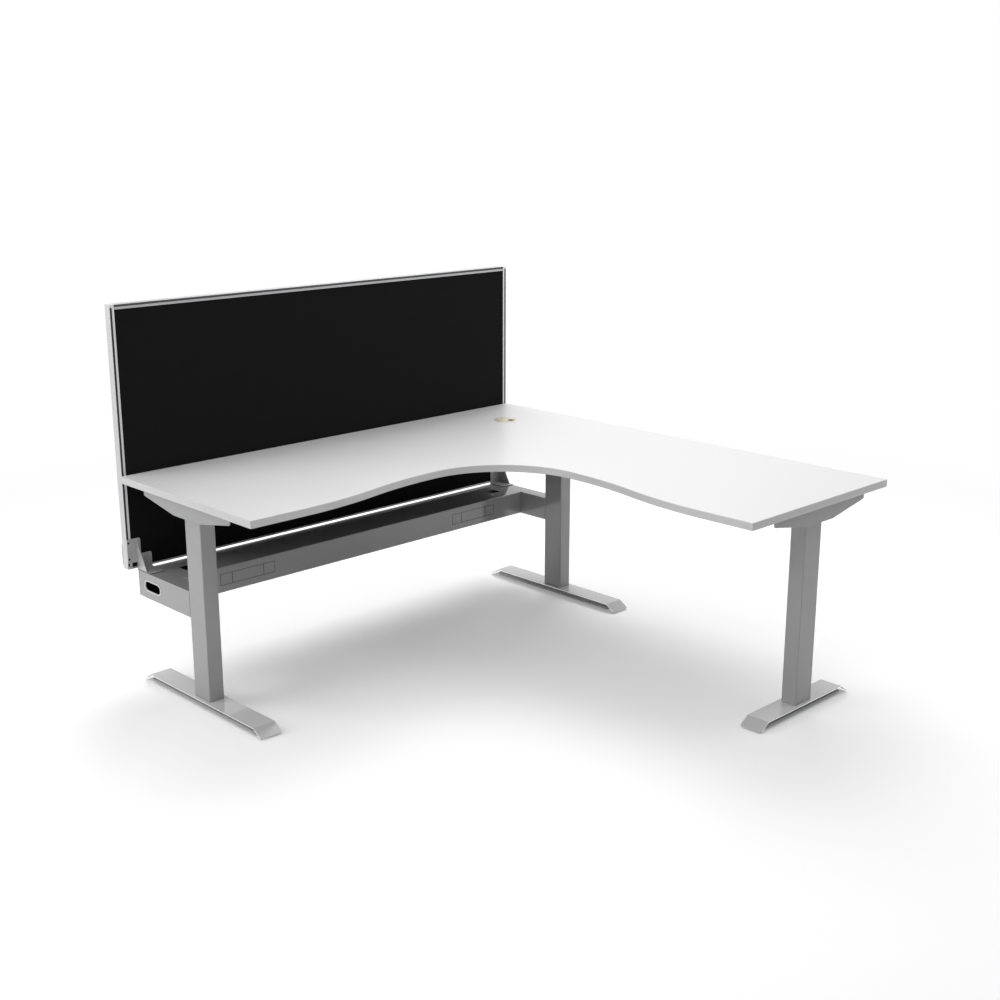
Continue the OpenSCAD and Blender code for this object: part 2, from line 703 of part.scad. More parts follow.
module chamber(gap) translate([frame_wall + gap, slot_d + frame_wall + gap])
    square([core_a - 2 * frame_wall - 2 * gap, screen_t - 2 * slot_d - 2 * frame_wall - 2 * gap]);

stile_z0 = screen_z + block_h;
stile_z1 = screen_top - block_h;

module stile() color(alu) at_screen() translate([0, screen_front, stile_z0])
    linear_extrude(stile_z1 - stile_z0) frame_profile();

rail_x0 = screen_in + frame_w;
rail_x1 = top_w - rail_x0;

// The top rail has the stiles' profile, turned so that its outer edge faces up
module screen_top_rail() color(alu) place() translate([0, screen_front, screen_top])
    along_x(rail_x0, rail_x1) rotate(-90) frame_profile();

// The bottom rail is a low channel in which the infill stands
module screen_bottom_rail() color(alu) place() translate([0, screen_front, screen_z])
    along_x(rail_x0, rail_x1) difference() {
        square([screen_t, rail_lip]);
        translate([lip_t, rail_web]) square([screen_t - 2 * lip_t, rail_lip]);
    }

// Corner blocks with tenons in the frame's chambers; the lower ones have a tongue in the bottom rail
module screen_corner_blocks() color(alu) place() both_ends() at_screen() translate([0, screen_front, 0]) {
    for (z = [screen_z, stile_z1]) translate([0, 0, z]) cube([frame_w, screen_t, block_h]);
    translate([0, 0, stile_z0 - 1]) linear_extrude(tenon_l) chamber(fit);
    translate([0, 0, stile_z1 - tenon_l + 1]) linear_extrude(tenon_l) chamber(fit);
    translate([0, 0, screen_top]) along_x(frame_w - 1, frame_w + tenon_l) rotate(-90) chamber(fit);
    tongue_y = slot_d + frame_wall;
    box([frame_w - 1, tongue_y, screen_z + rail_web + fit],
        [frame_w + tenon_l, screen_t - tongue_y, screen_z + rail_web + fit + tongue_t]);
}

// A sheet that fills the frame, from depth y0 to y1 behind the frame's front, notched over the lower blocks
module infill(y0, y1) place() along_y(screen_front + y0, screen_front + y1) {
    side = screen_in + infill_in;
    foot = rail_x0 + fit;
    over_block = screen_z + block_h + fit;
    over_tongue = screen_z + rail_web + tongue_t + 2 * fit;
    polygon([
        [side, over_block], [foot, over_block], [foot, over_tongue], [top_w - foot, over_tongue],
        [top_w - foot, over_block], [top_w - side, over_block],
        [top_w - side, screen_top - infill_in], [side, screen_top - infill_in]
    ]);
}

module screen_board() color(black) infill(board_front, screen_t - board_front);

module screen_fabric(y0) color(cloth) infill(y0, y0 + fabric_t);

// Screen bracket: upright plate with a lower step, base plate on the duct arm and a gusset
sb_front = screen_front - sb_t;
sb_top = duct_top + sb_h;
sb_top_r = 8;
sb_step_r = 6;
base_screw_y = [-sb_base * 0.3, -sb_base * 0.75];
slot_x = screen_in + (slot_wall + frame_w - lip_w) / 2;
slot_screw_z = [sb_top - sb_screw, duct_top + sb_step - sb_screw];
clamp_screw_z = [screen_z + clamp_up + clamp_h * 0.25, screen_z + clamp_up + clamp_h * 0.75];

module screen_bracket() color(coat) difference() {
    union() {
        along_y(sb_front, screen_front) polygon(rounded(
            [[screen_in, duct_top + sb_low], [duct_end, duct_top + sb_low], [duct_end, duct_top],
            [duct_in, duct_top], [duct_in, duct_top + sb_step], [sb_w, duct_top + sb_step],
            [sb_w, sb_top], [screen_in, sb_top]],
            [0, 0, 0, 0, sb_step_r, 0, sb_top_r, 0]));
        box([duct_end, -sb_base, duct_top], [duct_in, sb_front + 1, duct_top + sb_t]);
        along_x(duct_end, duct_end + sb_t) polygon([
            [sb_front + 1, duct_top + 1], [sb_front + 1, sb_top - 5], [sb_front, sb_top - 5],
            [-sb_gusset, duct_top + sb_t], [-sb_gusset, duct_top + 1]]);
    }
    for (z = slot_screw_z) translate([slot_x, sb_front - past, z]) rotate([-90, 0, 0])
        cylinder(d = screw_hole, h = sb_t + 2 * past, $fn = 24);
    for (y = base_screw_y) translate([duct_end + col_w / 2, y, duct_top - past])
        cylinder(d = screw_hole, h = sb_t + 2 * past, $fn = 24);
}

clamp_r = 3;
module clamp_plate() color(coat) difference() {
    along_y(screen_rear, screen_rear + clamp_t)
        translate([screen_in + clamp_w / 2, screen_z + clamp_up + clamp_h / 2])
            round_rect(clamp_w, clamp_h, clamp_r);
    for (z = clamp_screw_z) translate([slot_x, screen_rear - past, z]) rotate([-90, 0, 0])
        cylinder(d = screw_hole, h = clamp_t + 2 * past, $fn = 24);
}

// Slot nuts sit in the stiles' slots behind the bracket and the clamp plate
nut_h = 12;
nut_t = slot_d - 1;
module slot_nut(y, z) difference() {
    at_screen() box([slot_wall + fit, y, z - nut_h / 2], [frame_w - lip_w - fit, y + nut_t, z + nut_h / 2]);
    translate([slot_x, y - 1, z]) rotate([-90, 0, 0])
        cylinder(d = screw_hole, h = nut_t + 2, $fn = 24);
}

module screen_slot_nuts() color(zinc) place() both_ends() {
    for (z = slot_screw_z) slot_nut(screen_front, z);
    for (z = clamp_screw_z) slot_nut(screen_rear - nut_t, z);
}

module small_screw(l) {
    cylinder(d = screw_d, h = l, $fn = 24);
    difference() {
        translate([0, 0, -head_t / 2]) cylinder(d = 1.8 * screw_d, h = head_t / 2, $fn = 24);
        translate([0, 0, -head_t]) cylinder(d = screw_d * 0.6, h = head_t * 0.75, $fn = 6);
    }
}

module screen_slot_screws() color(zinc) place() both_ends() {
    for (z = slot_screw_z) translate([slot_x, sb_front, z]) rotate([-90, 0, 0]) small_screw(sb_t + nut_t);
    for (z = clamp_screw_z) translate([slot_x, screen_rear + clamp_t, z]) rotate([90, 0, 0])
        small_screw(clamp_t + nut_t);
}

module bracket_base_screws() color(zinc) place() both_ends() for (y = base_screw_y)
    translate([duct_end + col_w / 2, y, duct_top + sb_t]) mirror([0, 0, 1]) small_screw(sb_t + duct_t + 6);

worktop();
worktop_edge_band();
grommet_liner();
grommet_cap();
place() at_leg(0) column();  // left_column
place() at_leg(1) column();  // corner_column
place() at_leg(2) column(false);  // right_column
place() at_leg(0) top_bracket();  // left_top_bracket
place() at_leg(1) top_bracket();  // corner_top_bracket
place() at_leg(2) top_bracket();  // right_top_bracket
place() at_leg(0) foot_beam(foot_l[0]);  // left_foot_beam
place() at_leg(1) foot_beam(foot_l[1]);  // corner_foot_beam
place() at_leg(2) foot_beam(foot_l[2]);  // right_foot_beam
place() at_leg(0) foot_cover(foot_l[0]);  // left_foot_cover
place() at_leg(1) foot_cover(foot_l[1]);  // corner_foot_cover
place() at_leg(2) foot_cover(foot_l[2]);  // right_foot_cover
place() at_leg(0) glide(glide_in - foot_l[0] / 2);  // left_front_glide
place() at_leg(0) glide(foot_l[0] / 2 - glide_in);  // left_rear_glide
place() at_leg(1) glide(glide_in - foot_l[1] / 2);  // corner_front_glide
place() at_leg(1) glide(foot_l[1] / 2 - glide_in);  // corner_rear_glide
place() at_leg(2) glide(glide_in - foot_l[2] / 2);  // right_outer_glide
place() at_leg(2) glide(foot_l[2] / 2 - glide_in);  // right_inner_glide
bracket_screws(0);  // left_bracket_screws
bracket_screws(1);  // corner_bracket_screws
bracket_screws(2);  // right_bracket_screws
leg_bolts(0);  // left_leg_bolts
leg_bolts(1);  // corner_leg_bolts
leg_bolts(2);  // right_leg_bolts
duct_channel();
duct_bottom_cover();
place() duct_arm();  // left_duct_arm
place() at_right() duct_arm();  // corner_duct_arm
place() port_trim();  // left_port_trim
place() at_right() port_trim();  // corner_port_trim
place() outlet_blank();  // left_outlet_blank
place() at_right() outlet_blank();  // right_outlet_blank
duct_bolts();
duct_cover_screws();
screen_top_rail();
screen_bottom_rail();
place() stile();  // screen_left_stile
place() at_right() stile();  // screen_right_stile
screen_corner_blocks();
screen_board();
screen_fabric(board_front - fabric_t);  // screen_front_fabric
screen_fabric(screen_t - board_front);  // screen_rear_fabric
place() screen_bracket();  // left_screen_bracket
place() at_right() screen_bracket();  // right_screen_bracket
place() clamp_plate();  // left_clamp_plate
place() at_right() clamp_plate();  // right_clamp_plate
screen_slot_nuts();
screen_slot_screws();
bracket_base_screws();
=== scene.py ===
import json
import math
import bpy
import bmesh
from mathutils import Matrix, Vector, noise
from mathutils.bvhtree import BVHTree
from mathutils.geometry import area_tri

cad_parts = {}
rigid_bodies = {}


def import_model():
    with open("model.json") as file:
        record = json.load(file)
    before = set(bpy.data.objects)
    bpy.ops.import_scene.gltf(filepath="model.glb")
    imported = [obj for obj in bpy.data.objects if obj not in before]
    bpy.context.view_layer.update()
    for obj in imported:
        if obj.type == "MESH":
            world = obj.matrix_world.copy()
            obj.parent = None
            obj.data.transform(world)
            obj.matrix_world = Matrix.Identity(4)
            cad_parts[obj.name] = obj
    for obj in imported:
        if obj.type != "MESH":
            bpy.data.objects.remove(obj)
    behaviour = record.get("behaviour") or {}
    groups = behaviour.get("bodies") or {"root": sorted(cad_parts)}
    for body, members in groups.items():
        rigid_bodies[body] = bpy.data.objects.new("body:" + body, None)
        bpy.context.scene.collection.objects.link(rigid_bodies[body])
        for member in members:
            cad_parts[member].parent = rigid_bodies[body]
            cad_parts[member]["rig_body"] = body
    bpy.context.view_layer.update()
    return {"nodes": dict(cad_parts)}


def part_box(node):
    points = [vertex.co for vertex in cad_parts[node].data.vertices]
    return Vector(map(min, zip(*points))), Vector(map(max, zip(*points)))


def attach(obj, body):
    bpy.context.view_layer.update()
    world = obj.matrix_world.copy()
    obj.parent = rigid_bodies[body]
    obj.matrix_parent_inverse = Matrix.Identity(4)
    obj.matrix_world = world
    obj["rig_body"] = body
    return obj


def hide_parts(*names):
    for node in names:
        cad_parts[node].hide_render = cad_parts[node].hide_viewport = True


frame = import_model()
scene = bpy.context.scene
scene.view_settings.view_transform = 'Standard'
nodes = frame["nodes"]


# Meshes: each piece starts from the outline that the CAD gives it

# Lengths in metres, angles in degrees. A face is a wall where its normal's z stays below level.
meshLimits = {"weld": 2e-6, "flat": 0.05, "sharp": 28, "smooth": 32, "faceWeight": 80,
              "cutWeld": 5e-5, "sliver": 1e-5, "level": 0.5}
bevelLimits = {"tries": 9, "narrower": 0.72, "strayed": 0.8, "turned": 2e-7}


def camelName(words):
    first, *rest = words.split("_")
    return first + "".join(word.capitalize() for word in rest)


def bodyOf(node):
    return nodes[node]["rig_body"]


def cleanMesh(node):
    # The CAD mesh comes in triangles: weld it and drop the lines inside its flat faces
    bm = bmesh.new()
    bm.from_mesh(nodes[node].data)
    bmesh.ops.remove_doubles(bm, verts=bm.verts, dist=meshLimits["weld"])
    bmesh.ops.dissolve_limit(bm, angle_limit=math.radians(meshLimits["flat"]), verts=bm.verts,
                             edges=bm.edges)
    bmesh.ops.recalc_face_normals(bm, faces=bm.faces)
    return bm


def turnedArea(bm):
    # The area of triangles that face against the face they belong to
    area = 0.0
    for triangle in bm.calc_loop_triangles():
        first, second, third = (loop.vert.co for loop in triangle)
        if (second - first).cross(third - first).dot(triangle[0].face.normal) < 0:
            area += area_tri(first, second, third)
    return area


def roundEdges(bm, width, steps, pick=None):
    # A bevel that is wider than a small radius folds over itself, so it is narrowed until it fits
    bm.edges.index_update()
    angle = math.radians(meshLimits["sharp"])
    sharp = [edge.index for edge in bm.edges if len(edge.link_faces) == 2
             and edge.calc_face_angle(0) > angle and (pick is None or pick(edge))]
    surface = BVHTree.FromBMesh(bm)
    for attempt in range(bevelLimits["tries"]):
        trial = bm.copy()
        trial.edges.ensure_lookup_table()
        bmesh.ops.bevel(trial, geom=[trial.edges[index] for index in sharp], offset=width,
                        offset_type='OFFSET', segments=steps, profile=0.5, affect='EDGES',
                        clamp_overlap=False, loop_slide=True)
        strayed = max(surface.find_nearest(vert.co)[3] for vert in trial.verts)
        if strayed < bevelLimits["strayed"] * width and turnedArea(trial) < bevelLimits["turned"]:
            break
        width *= bevelLimits["narrower"]
    bm.free()
    return trial


def meshObject(name, bm, material):
    angle = math.radians(meshLimits["smooth"])
    for face in bm.faces:
        face.smooth = True
    for edge in bm.edges:
        edge.smooth = len(edge.link_faces) == 2 and edge.calc_face_angle(0) < angle
    mesh = bpy.data.meshes.new(name)
    bm.to_mesh(mesh)
    bm.free()
    mesh.materials.append(material)
    piece = bpy.data.objects.new(name, mesh)
    scene.collection.objects.link(piece)
    weights = piece.modifiers.new("flatFaces", 'WEIGHTED_NORMAL')
    weights.keep_sharp = True
    weights.weight = meshLimits["faceWeight"]
    return piece


def settle(piece, body, slot, *replaced):
    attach(piece, body)
    if replaced:
        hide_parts(*replaced)
    return piece


def remake(node, material, slot, width, steps):
    # The CAD shape with its sharp edges broken, as the real part has them
    bm = roundEdges(cleanMesh(node), width, steps)
    return settle(meshObject(camelName(node), bm, material), bodyOf(node), slot, node)


def repaint(piece, test, material):
    # Faces that pass the test take a second finish
    piece.data.materials.append(material)
    index = len(piece.data.materials) - 1
    for face in piece.data.polygons:
        if test(face.center, face.normal):
            face.material_index = index


def isWall(normal):
    return abs(normal.z) < meshLimits["level"]


def facesUp(normal):
    return normal.z > meshLimits["level"]


def facesDown(normal):
    return normal.z < -meshLimits["level"]


def cutAway(bm, low, high):
    # Takes the box between two corners out of a mesh
    uncut = bpy.data.meshes.new("uncut")
    bm.to_mesh(uncut)
    body = bpy.data.objects.new("uncut", uncut)
    block = bmesh.new()
    place = Matrix.Translation((low + high) / 2) @ Matrix.Diagonal((*(high - low), 1))
    bmesh.ops.create_cube(block, size=1.0, matrix=place)
    blockMesh = bpy.data.meshes.new("block")
    block.to_mesh(blockMesh)
    block.free()
    blade = bpy.data.objects.new("block", blockMesh)
    for thing in (body, blade):
        scene.collection.objects.link(thing)
    cut = body.modifiers.new("cut", 'BOOLEAN')
    cut.operation = 'DIFFERENCE'
    cut.solver = 'EXACT'
    cut.object = blade
    whole = bpy.context.evaluated_depsgraph_get()
    result = bpy.data.meshes.new_from_object(body.evaluated_get(whole))
    bm.clear()
    bm.from_mesh(result)
    bmesh.ops.remove_doubles(bm, verts=bm.verts, dist=meshLimits["cutWeld"])
    bmesh.ops.dissolve_degenerate(bm, dist=meshLimits["sliver"], edges=bm.edges)
    for thing in (body, blade):
        bpy.data.objects.remove(thing)
    for mesh in (uncut, blockMesh, result):
        bpy.data.meshes.remove(mesh)


# Shader nodes

def addNode(tree, kind, place=(0, 0), **settings):
    node = tree.nodes.new(kind)
    node.location = place
    for key, value in settings.items():
        setattr(node, key, value)
    return node


def wire(tree, start, output, end, inlet):
    tree.links.new(start.outputs[output], end.inputs[inlet])


def mathNode(tree, operation, first, second=None, place=(0, 0)):
    node = addNode(tree, 'ShaderNodeMath', place, operation=operation)
    for index, value in enumerate((first, second)):
        if value is None:
            continue
        if isinstance(value, (int, float)):
            node.inputs[index].default_value = value
        else:
            tree.links.new(value, node.inputs[index])
    return node.outputs[0]


def mapRange(tree, value, low, high, place=(0, 0)):
    node = addNode(tree, 'ShaderNodeMapRange', place)
    tree.links.new(value, node.inputs['Value'])
    node.inputs['To Min'].default_value = low
    node.inputs['To Max'].default_value = high
    return node.outputs['Result']


def newGroup(name, inlets, outlets):
    group = bpy.data.node_groups.new(name, 'ShaderNodeTree')
    for label, kind, value in inlets:
        socket = group.interface.new_socket(label, in_out='INPUT', socket_type=kind)
        if value is not None:
            socket.default_value = value
    for label, kind in outlets:
        group.interface.new_socket(label, in_out='OUTPUT', socket_type=kind)
    start = addNode(group, 'NodeGroupInput', (-900, 0))
    end = addNode(group, 'NodeGroupOutput', (700, 0))
    return group, start, end


grainShape = {"bumps": 900.0, "cloud": 6.0, "bumpDetail": 3.0, "bumpRough": 0.55,
              "specksPerBump": 2.4, "cloudDetail": 4.0, "cloudRough": 0.6}


def makeGrainGroup(shape):
    # Fine bumps of a powder coat or a pressed face, and faint cloudy differences of tone and gloss
    group, start, end = newGroup(
        "fineGrain",
        [("Vector", 'NodeSocketVector', None),
         ("Bumps per Metre", 'NodeSocketFloat', shape["bumps"]),
         ("Cloud Size", 'NodeSocketFloat', shape["cloud"])],
        [("Height", 'NodeSocketFloat'), ("Speck", 'NodeSocketFloat'), ("Cloud", 'NodeSocketFloat')])
    bumps = addNode(group, 'ShaderNodeTexNoise', (-500, 200))
    bumps.inputs['Detail'].default_value = shape["bumpDetail"]
    bumps.inputs['Roughness'].default_value = shape["bumpRough"]
    wire(group, start, "Vector", bumps, 'Vector')
    wire(group, start, "Bumps per Metre", bumps, 'Scale')
    specks = addNode(group, 'ShaderNodeTexVoronoi', (-500, -100))
    wire(group, start, "Vector", specks, 'Vector')
    finer = mathNode(group, 'MULTIPLY', start.outputs["Bumps per Metre"], shape["specksPerBump"],
                     (-700, -150))
    group.links.new(finer, specks.inputs['Scale'])
    cloud = addNode(group, 'ShaderNodeTexNoise', (-500, -400))
    cloud.inputs['Detail'].default_value = shape["cloudDetail"]
    cloud.inputs['Roughness'].default_value = shape["cloudRough"]
    wire(group, start, "Vector", cloud, 'Vector')
    wire(group, start, "Cloud Size", cloud, 'Scale')
    wire(group, bumps, 'Fac', end, "Height")
    wire(group, specks, 'Color', end, "Speck")
    wire(group, cloud, 'Fac', end, "Cloud")
    return group


weaveShape = {"threads": 900.0, "under": 0.45, "yarnStretch": (40.0, 40.0, 900.0),
              "yarnDetail": 2.0, "yarnThin": 0.6, "yarnThick": 1.4}


def makeWeaveGroup(shape):
    # Plain weave: each thread passes over and under the next, and the yarn's thickness drifts
    group, start, end = newGroup(
        "plainWeave",
        [("Vector", 'NodeSocketVector', None),
         ("Threads per Metre", 'NodeSocketFloat', shape["threads"])],
        [("Height", 'NodeSocketFloat'), ("Tone", 'NodeSocketFloat')])
    split = addNode(group, 'ShaderNodeSeparateXYZ', (-700, 200))
    wire(group, start, "Vector", split, 'Vector')
    threads = start.outputs["Threads per Metre"]
    across = mathNode(group, 'MULTIPLY', split.outputs['X'], threads, (-500, 300))
    up = mathNode(group, 'MULTIPLY', split.outputs['Z'], threads, (-500, 100))

    def crown(count):
        # The rounded height across one thread
        part = mathNode(group, 'FRACT', count)
        return mathNode(group, 'SINE', mathNode(group, 'MULTIPLY', part, math.pi))
    warp, weft = crown(across), crown(up)
    cells = mathNode(group, 'ADD', mathNode(group, 'FLOOR', across), mathNode(group, 'FLOOR', up))
    over = mathNode(group, 'PINGPONG', cells, 1.0)
    overWarp = mathNode(group, 'MULTIPLY', warp, mapRange(group, weft, shape["under"], 1.0))
    overWeft = mathNode(group, 'MULTIPLY', weft, mapRange(group, warp, shape["under"], 1.0))
    mix = addNode(group, 'ShaderNodeMix', (200, 200), data_type='FLOAT')
    group.links.new(over, mix.inputs['Factor'])
    group.links.new(overWarp, mix.inputs['A'])
    group.links.new(overWeft, mix.inputs['B'])
    stretch = addNode(group, 'ShaderNodeMapping', (-500, -300))
    stretch.inputs['Scale'].default_value = shape["yarnStretch"]
    wire(group, start, "Vector", stretch, 'Vector')
    yarn = addNode(group, 'ShaderNodeTexNoise', (-300, -300))
    yarn.inputs['Scale'].default_value = 1.0
    yarn.inputs['Detail'].default_value = shape["yarnDetail"]
    wire(group, stretch, 'Vector', yarn, 'Vector')
    thickness = mapRange(group, yarn.outputs['Fac'], shape["yarnThin"], shape["yarnThick"])
    tone = mathNode(group, 'MULTIPLY', mix.outputs['Result'], thickness)
    group.links.new(mix.outputs['Result'], end.inputs["Height"])
    group.links.new(tone, end.inputs["Tone"])
    return group


drawnShape = {"lines": (1500.0, 1500.0, 6.0), "detail": 3.0, "patches": 9.0, "lineShare": 0.6}


def makeDrawnGroup(shape):
    # Fine die lines that run along an extruded part
    group, start, end = newGroup(
        "drawnLines",
        [("Vector", 'NodeSocketVector', None),
         ("Lines per Metre", 'NodeSocketVector', shape["lines"])],
        [("Height", 'NodeSocketFloat'), ("Tone", 'NodeSocketFloat')])
    stretch = addNode(group, 'ShaderNodeVectorMath', (-500, 0), operation='MULTIPLY')
    wire(group, start, "Vector", stretch, 0)
    wire(group, start, "Lines per Metre", stretch, 1)
    lines = addNode(group, 'ShaderNodeTexNoise', (-250, 0))
    lines.inputs['Scale'].default_value = 1.0
    lines.inputs['Detail'].default_value = shape["detail"]
    wire(group, stretch, 'Vector', lines, 'Vector')
    soft = addNode(group, 'ShaderNodeTexNoise', (-250, -250))
    soft.inputs['Scale'].default_value = shape["patches"]
    wire(group, start, "Vector", soft, 'Vector')
    wire(group, lines, 'Fac', end, "Height")
    share = shape["lineShare"]
    tone = mathNode(group, 'ADD', mathNode(group, 'MULTIPLY', lines.outputs['Fac'], share),
                    mathNode(group, 'MULTIPLY', soft.outputs['Fac'], 1 - share))
    group.links.new(tone, end.inputs["Tone"])
    return group


turnedShape = {"rings": 1200.0, "detail": 3.0}


def makeTurnedGroup(shape):
    # Fine rings that a lathe leaves round an upright axis
    group, start, end = newGroup(
        "turnedRings",
        [("Vector", 'NodeSocketVector', None), ("Middle", 'NodeSocketVector', (0.0, 0.0, 0.0)),
         ("Rings per Metre", 'NodeSocketFloat', shape["rings"])],
        [("Height", 'NodeSocketFloat'), ("Tone", 'NodeSocketFloat')])
    away = addNode(group, 'ShaderNodeVectorMath', (-700, 0), operation='SUBTRACT')
    wire(group, start, "Vector", away, 0)
    wire(group, start, "Middle", away, 1)
    flat = addNode(group, 'ShaderNodeVectorMath', (-500, 0), operation='MULTIPLY')
    flat.inputs[1].default_value = (1.0, 1.0, 0.0)
    wire(group, away, 'Vector', flat, 0)
    radius = addNode(group, 'ShaderNodeVectorMath', (-300, 0), operation='LENGTH')
    wire(group, flat, 'Vector', radius, 0)
    rings = addNode(group, 'ShaderNodeTexNoise', (0, 0), noise_dimensions='1D')
    rings.inputs['Scale'].default_value = 1.0
    rings.inputs['Detail'].default_value = shape["detail"]
    count = mathNode(group, 'MULTIPLY', radius.outputs['Value'], start.outputs["Rings per Metre"],
                     (-150, 0))
    group.links.new(count, rings.inputs['W'])
    wire(group, rings, 'Fac', end, "Height")
    wire(group, rings, 'Fac', end, "Tone")
    return group


grainGroup = makeGrainGroup(grainShape)
weaveGroup = makeWeaveGroup(weaveShape)
drawnGroup = makeDrawnGroup(drawnShape)
turnedGroup = makeTurnedGroup(turnedShape)

plainLook = {"metal": 0.0, "ior": 1.5}  # what a look has unless it says otherwise


def startMaterial(name, look):
    look = plainLook | look
    material = bpy.data.materials.new(name)
    material.use_nodes = True
    tree = material.node_tree
    tree.nodes.clear()
    out = addNode(tree, 'ShaderNodeOutputMaterial', (900, 0))
    shader = addNode(tree, 'ShaderNodeBsdfPrincipled', (600, 0))
    shader.inputs['Roughness'].default_value = look["rough"]
    shader.inputs['Metallic'].default_value = look["metal"]
    shader.inputs['IOR'].default_value = look["ior"]
    wire(tree, shader, 'BSDF', out, 'Surface')
    place = addNode(tree, 'ShaderNodeTexCoord', (-900, 0))
    return material, tree, shader, place


def useGroup(tree, group, place, **values):
    node = addNode(tree, 'ShaderNodeGroup', (-500, 0), node_tree=group)
    wire(tree, place, 'Object', node, "Vector")
    for key, value in values.items():
        node.inputs[key.replace("_", " ")].default_value = value
    return node


def blendColour(tree, factor, low, high, shader):
    mix = addNode(tree, 'ShaderNodeMix', (200, 200), data_type='RGBA')
    tree.links.new(factor, mix.inputs['Factor'])
    mix.inputs['A'].default_value = (*low, 1.0)
    mix.inputs['B'].default_value = (*high, 1.0)
    tree.links.new(mix.outputs['Result'], shader.inputs['Base Color'])


def driftColour(tree, factor, look, shader):
    low = tuple(c * (1 - look["drift"]) for c in look["colour"])
    high = tuple(min(1.0, c * (1 + look["drift"])) for c in look["colour"])
    blendColour(tree, factor, low, high, shader)


def driftGloss(tree, factor, look, shader):
    low, high = look["rough"] * (1 - look["gloss"]), look["rough"] * (1 + look["gloss"])
    tree.links.new(mapRange(tree, factor, low, high), shader.inputs['Roughness'])


def addBump(tree, height, look, shader):
    bump = addNode(tree, 'ShaderNodeBump', (300, -300))
    bump.inputs['Strength'].default_value = look["bump"]
    bump.inputs['Distance'].default_value = look["depth"]
    tree.links.new(height, bump.inputs['Height'])
    wire(tree, bump, 'Normal', shader, 'Normal')


def grainMaterial(name, look):
    material, tree, shader, place = startMaterial(name, look)
    grain = useGroup(tree, grainGroup, place, Bumps_per_Metre=look["bumps"],
                     Cloud_Size=look["cloud"])
    tone = mathNode(tree, 'ADD', mathNode(tree, 'MULTIPLY', grain.outputs["Speck"], look["speck"]),
                    mathNode(tree, 'MULTIPLY', grain.outputs["Cloud"], 1 - look["speck"]))
    driftColour(tree, tone, look, shader)
    driftGloss(tree, grain.outputs["Cloud"], look, shader)
    addBump(tree, grain.outputs["Height"], look, shader)
    return material


def linedMaterial(name, look, group, **values):
    # Lines of a tool, drawn or turned, which change tone, gloss and height together
    material, tree, shader, place = startMaterial(name, look)
    lines = useGroup(tree, group, place, **values)
    driftColour(tree, lines.outputs["Tone"], look, shader)
    driftGloss(tree, lines.outputs["Tone"], look, shader)
    addBump(tree, lines.outputs["Height"], look, shader)
    return material


def clothMaterial(name, look):
    material, tree, shader, place = startMaterial(name, look)
    weave = useGroup(tree, weaveGroup, place, Threads_per_Metre=look["threads"])
    blendColour(tree, weave.outputs["Tone"], look["deep"], look["colour"], shader)
    addBump(tree, weave.outputs["Height"], look, shader)
    shader.inputs['Sheen Weight'].default_value = look["sheen"]
    shader.inputs['Sheen Roughness'].default_value = look["sheenRough"]
    shader.inputs['Specular IOR Level'].default_value = look["specular"]
    return material


print("shader groups made")


# The camera stands where the photograph was taken from, and the lamps are large and soft

cameraView = {"place": (-3.12367, -3.20675, 1.86882), "turn": 44.290, "tilt": 15.229, "roll": 0.037,
              "lens": 49.91, "sensor": 36.0, "farthest": 100.0}


def setCamera(view):
    data = bpy.data.cameras.new("photoView")
    data.sensor_fit = 'HORIZONTAL'
    data.sensor_width = view["sensor"]
    data.lens = view["lens"]
    data.clip_end = view["farthest"]
    camera = bpy.data.objects.new("photoView", data)
    camera.matrix_world = (Matrix.Translation(view["place"])
                           @ Matrix.Rotation(math.radians(-view["turn"]), 4, 'Z')
                           @ Matrix.Rotation(math.radians(90 - view["tilt"]), 4, 'X')
                           @ Matrix.Rotation(math.radians(view["roll"]), 4, 'Z'))
    scene.collection.objects.link(camera)
    scene.camera = camera


def seenDirectly(tree):
    # 1 for what the camera sees, straight or in a reflection
    rays = addNode(tree, 'ShaderNodeLightPath', (-600, 400)).outputs
    indirect = mathNode(tree, 'MAXIMUM', rays['Is Glossy Ray'], rays['Is Transmission Ray'])
    return mathNode(tree, 'MAXIMUM', rays['Is Camera Ray'], indirect)


floorLook = {"size": 30.0, "bounce": 0.95, "colour": 1.0, "lift": 0.23, "fadeFrom": 2.4,
             "fadeTo": 4.2}


